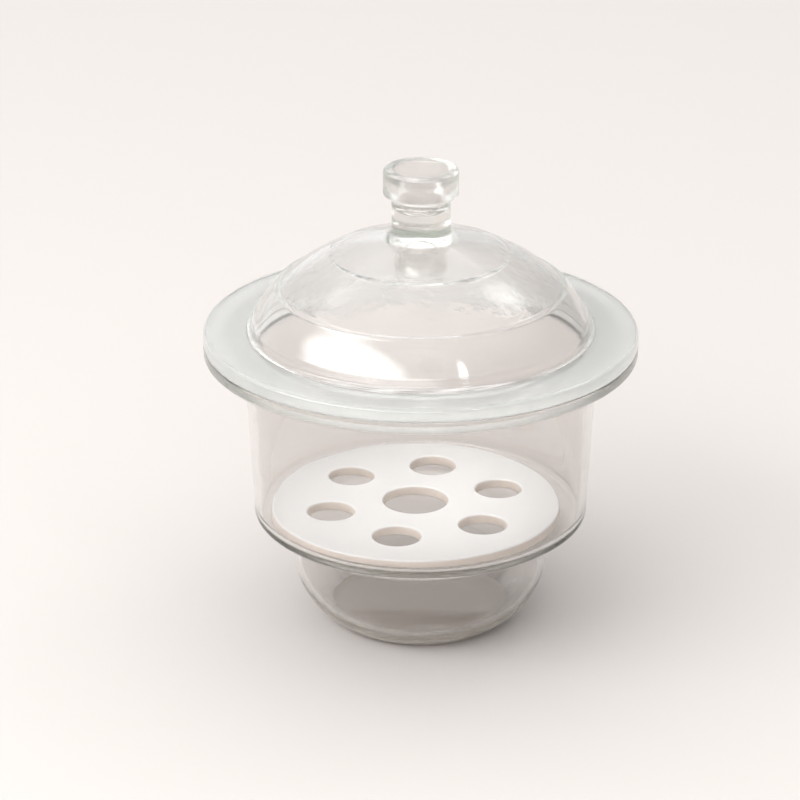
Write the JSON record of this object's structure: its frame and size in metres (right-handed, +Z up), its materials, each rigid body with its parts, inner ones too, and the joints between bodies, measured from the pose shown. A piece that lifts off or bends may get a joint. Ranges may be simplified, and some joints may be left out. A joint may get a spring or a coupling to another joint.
{
  "type": "glass desiccator",
  "caption": "Clear glass desiccator: stepped dome lid with a hollow knob slides on the greased ground flange of a waisted base, over a pierced porcelain plate.",
  "frame": {"origin": "centre of the underside, on the surface the desiccator stands on", "axes": "+Z up along the axis of the glass; the lid slides off along +X"},
  "size_m": [0.268, 0.268, 0.295],
  "materials": {
    "base_glass": "clear pressed glass with a fine-ground flange face",
    "lid_glass": "clear pressed glass with a fine-ground flange face",
    "grease": "thin translucent grease film",
    "porcelain": "white glazed faces, unglazed rim and hole walls"
  },
  "bodies": {
    "base": {"glass_base": "base_glass"},
    "seal": {"joint_grease": "grease"},
    "lid": {"glass_lid": "lid_glass"},
    "plate": {"porcelain_plate": "porcelain"}
  },
  "joints": [
    {"name": "lid_turn", "type": "hinge", "parent": "base", "child": "seal", "pos_m": [0, 0, 0.1848], "axis": [0, 0, 1], "continuous": true},
    {"name": "lid_slide", "type": "slide", "parent": "seal", "child": "lid", "axis": [1, 0, 0], "range_m": [0, 0.28]},
    {"name": "plate_lift", "type": "slide", "parent": "base", "child": "plate", "axis": [0, 0, 1], "range_m": [0, 0.1]}
  ]
}
